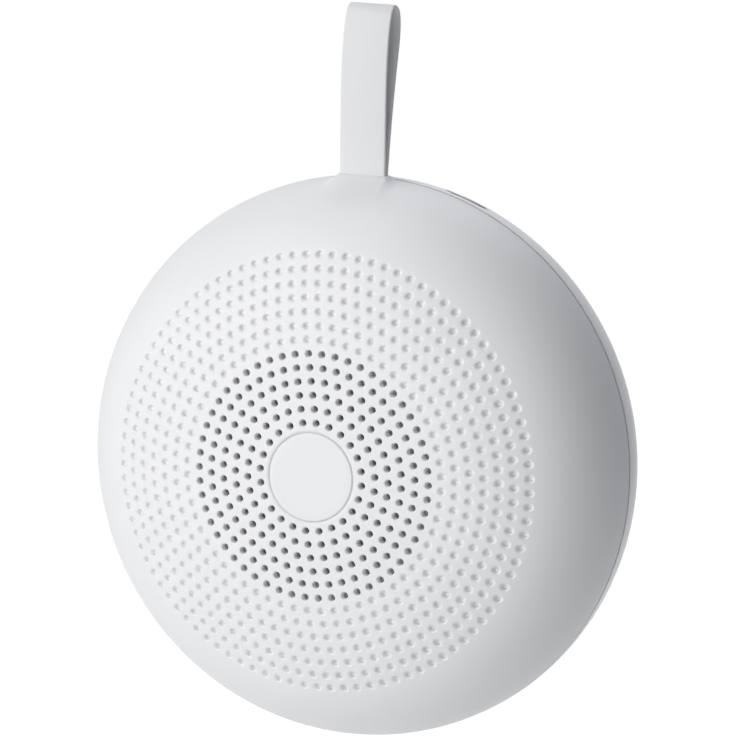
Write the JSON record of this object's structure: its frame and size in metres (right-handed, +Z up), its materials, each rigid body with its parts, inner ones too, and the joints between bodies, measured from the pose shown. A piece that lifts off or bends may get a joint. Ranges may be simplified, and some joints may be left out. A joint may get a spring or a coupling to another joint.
{
  "type": "white noise sound machine",
  "caption": "Round domed portable sound machine with a perforated grille, centre badge, strap loop, side keys, charging port and inner loudspeaker.",
  "frame": {"origin": "the point inside the top of the strap loop that a hook or pram bar carries, in the middle of the strap's width", "axes": "+Z up as it hangs, along the line from the housing's axis to the loop; -Y the way the grille faces, parallel to the housing's axis; +Y out of the flat back; +X to the right seen from the front"},
  "size_m": [0.1038, 0.0357, 0.1354],
  "materials": {
    "shell_white": "satin moulded",
    "badge_white": "semi-gloss",
    "acoustic_cloth": "woven",
    "cover_white": "satin moulded",
    "foot_rubber": "matt",
    "screw_steel": "plated",
    "strap_silicone": "matt",
    "gasket_foam": "foam",
    "basket_black": "satin",
    "surround_rubber": "satin",
    "cone_paper": "pressed paper",
    "coil_copper": "wound wire",
    "spider_cloth": "treated cloth",
    "plate_steel": "zinc plated",
    "magnet_ferrite": "ground ferrite",
    "terminal_brown": "laminate",
    "lead_red": "insulation",
    "lead_black": "insulation",
    "board_green": "solder mask",
    "chip_black": "moulded",
    "capacitor_can": "drawn can",
    "socket_nylon": "moulded",
    "socket_steel": "folded sheet",
    "switch_black": "moulded",
    "battery_foil": "laminated pouch",
    "key_white": "satin moulded",
    "plunger_white": "moulded"
  },
  "bodies": {
    "housing": {"front_shell": "shell_white", "centre_badge": "badge_white", "grille_cloth": "acoustic_cloth", "rear_cover": "cover_white", "rubber_feet": "foot_rubber", "housing_screws": "screw_steel", "strap": "strap_silicone", "strap_pin": "screw_steel", "speaker_gasket": "gasket_foam", "speaker_frame": "basket_black", "surround": "surround_rubber", "spider": "spider_cloth", "top_plate": "plate_steel", "magnet": "magnet_ferrite", "yoke": "plate_steel", "speaker_terminal": "terminal_brown", "speaker_screws": "screw_steel", "speaker_leads": "lead_red", "main_board": "board_green", "board_screws": "screw_steel", "sound_chip": "chip_black", "amplifier_chip": "chip_black", "capacitors": "capacitor_can", "lead_sockets": "socket_nylon", "usb_socket": "socket_steel", "usb_tongue": "chip_black", "tact_switches": "switch_black", "battery_pad": "gasket_foam", "battery": "battery_foil", "battery_leads": "lead_black"},
    "power_button": {"power_key": "key_white", "power_plunger": "plunger_white"},
    "sound_button": {"sound_key": "key_white", "sound_plunger": "plunger_white"},
    "volume_down_button": {"volume_down_key": "key_white", "volume_down_plunger": "plunger_white"},
    "volume_up_button": {"volume_up_key": "key_white", "volume_up_plunger": "plunger_white"},
    "timer_button": {"timer_key": "key_white", "timer_plunger": "plunger_white"},
    "diaphragm": {"cone": "cone_paper", "dust_cap": "cone_paper", "voice_coil": "coil_copper"}
  },
  "joints": [
    {"name": "power_press", "type": "slide", "parent": "housing", "child": "power_button", "axis": [0.9133, 0, -0.4072], "range_m": [0, 0.0003], "stiffness_N_per_m": 4000},
    {"name": "sound_press", "type": "slide", "parent": "housing", "child": "sound_button", "axis": [0.9781, 0, -0.2082], "range_m": [0, 0.0003], "stiffness_N_per_m": 4000},
    {"name": "volume_down_press", "type": "slide", "parent": "housing", "child": "volume_down_button", "axis": [1, 0, 0], "range_m": [0, 0.0003], "stiffness_N_per_m": 4000},
    {"name": "volume_up_press", "type": "slide", "parent": "housing", "child": "volume_up_button", "axis": [0.9781, 0, 0.2082], "range_m": [0, 0.0003], "stiffness_N_per_m": 4000},
    {"name": "timer_press", "type": "slide", "parent": "housing", "child": "timer_button", "axis": [0.9133, 0, 0.4072], "range_m": [0, 0.0003], "stiffness_N_per_m": 4000},
    {"name": "diaphragm_travel", "type": "slide", "parent": "housing", "child": "diaphragm", "axis": [0, -1, 0], "range_m": [-0.0009, 0.0009], "stiffness_N_per_m": 1500}
  ]
}
